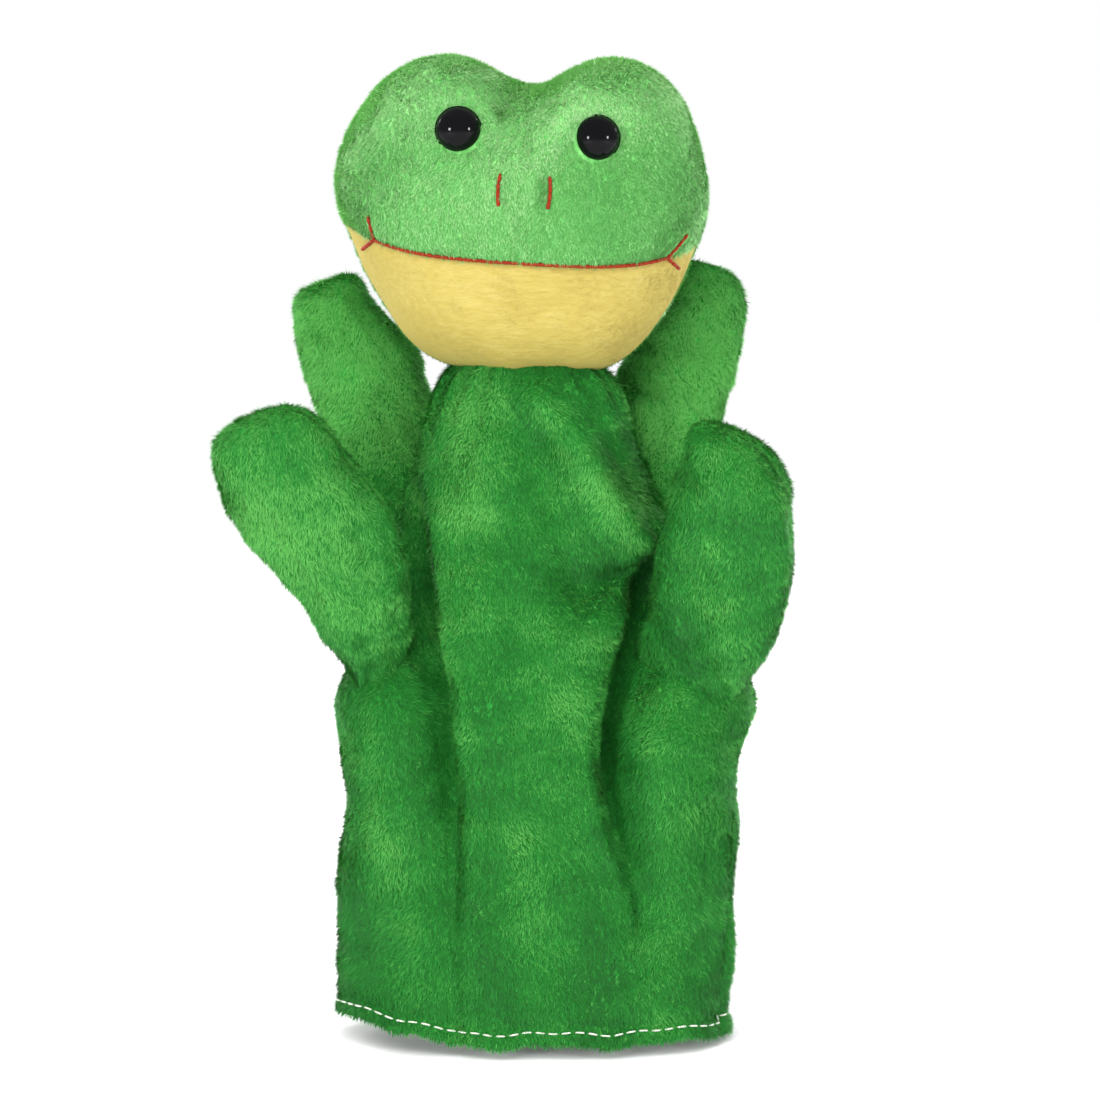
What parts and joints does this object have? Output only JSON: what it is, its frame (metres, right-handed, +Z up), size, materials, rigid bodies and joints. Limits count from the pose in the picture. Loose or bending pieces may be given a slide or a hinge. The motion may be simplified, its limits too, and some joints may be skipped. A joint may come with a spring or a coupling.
{
  "type": "hand puppet",
  "caption": "Plush frog glove puppet: stuffed head with a finger pocket, and a cloth body with four finger stalls, open at the hem.",
  "frame": {"origin": "centre of the hem opening, in the plane of the hem's lower edge", "axes": "+Z up from the hem to the head; the puppet faces -Y; its own right side is at -X"},
  "size_m": [0.1624, 0.084, 0.274],
  "materials": {
    "body_plush": "short pile, soft sheen",
    "head_plush": "short pile, soft sheen",
    "chin_plush": "very short pile, satin",
    "polyester_filling": "matte",
    "pocket_lining": "matte",
    "eye_plastic": "polished",
    "lock_washer": "matte",
    "embroidery_thread": "twisted thread, slight sheen",
    "hem_thread": "twisted thread, matte",
    "sewing_thread": "twisted thread, matte"
  },
  "bodies": {
    "torso": {"torso_front": "body_plush", "torso_back": "body_plush", "torso_seam_thread": "sewing_thread", "hem_thread": "hem_thread"},
    "neck": {"neck_front": "body_plush", "neck_back": "body_plush", "neck_thread": "sewing_thread"},
    "head": {"face_panel_right": "head_plush", "face_panel_left": "head_plush", "chin_panel": "chin_plush", "head_back_right": "head_plush", "head_back_left": "head_plush", "head_seam_thread": "sewing_thread", "head_stuffing": "polyester_filling", "finger_pocket": "pocket_lining", "eye_right": "eye_plastic", "eye_left": "eye_plastic", "eye_washer_right": "lock_washer", "eye_washer_left": "lock_washer", "nostril_stitch_right": "embroidery_thread", "nostril_stitch_left": "embroidery_thread", "mouth_stitch_right": "embroidery_thread", "mouth_stitch_left": "embroidery_thread", "cheek_stitch_right": "embroidery_thread", "cheek_stitch_left": "embroidery_thread"},
    "right_arm": {"right_arm_front": "body_plush", "right_arm_back": "body_plush", "right_arm_thread": "sewing_thread"},
    "left_arm": {"left_arm_front": "body_plush", "left_arm_back": "body_plush", "left_arm_thread": "sewing_thread"},
    "right_leg": {"right_leg_front": "body_plush", "right_leg_back": "body_plush", "right_leg_thread": "sewing_thread"},
    "left_leg": {"left_leg_front": "body_plush", "left_leg_back": "body_plush", "left_leg_thread": "sewing_thread"}
  },
  "joints": [
    {"name": "neck_lean", "type": "hinge", "parent": "torso", "child": "neck", "pos_m": [0, 0, 0.158], "axis": [0, 1, 0], "range_deg": [-5, 5], "stiffness_Nm_per_rad": 0.15},
    {"name": "head_nod", "type": "hinge", "parent": "neck", "child": "head", "pos_m": [0, 0, 0.186], "axis": [1, 0, 0], "range_deg": [-8, 18], "stiffness_Nm_per_rad": 0.15},
    {"name": "right_arm_swing", "type": "hinge", "parent": "torso", "child": "right_arm", "pos_m": [-0.034, 0.009, 0.142], "axis": [0.9511, 0, 0.309], "range_deg": [-15, 6], "stiffness_Nm_per_rad": 0.05},
    {"name": "left_arm_swing", "type": "hinge", "parent": "torso", "child": "left_arm", "pos_m": [0.034, 0.009, 0.142], "axis": [0.9613, 0, -0.2756], "range_deg": [-15, 6], "stiffness_Nm_per_rad": 0.05},
    {"name": "right_leg_swing", "type": "hinge", "parent": "torso", "child": "right_leg", "pos_m": [-0.045, -0.012, 0.104], "axis": [0.8988, 0, 0.4384], "range_deg": [-5, 35], "stiffness_Nm_per_rad": 0.05},
    {"name": "left_leg_swing", "type": "hinge", "parent": "torso", "child": "left_leg", "pos_m": [0.045, -0.012, 0.104], "axis": [0.9613, 0, -0.2756], "range_deg": [-5, 35], "stiffness_Nm_per_rad": 0.05}
  ]
}
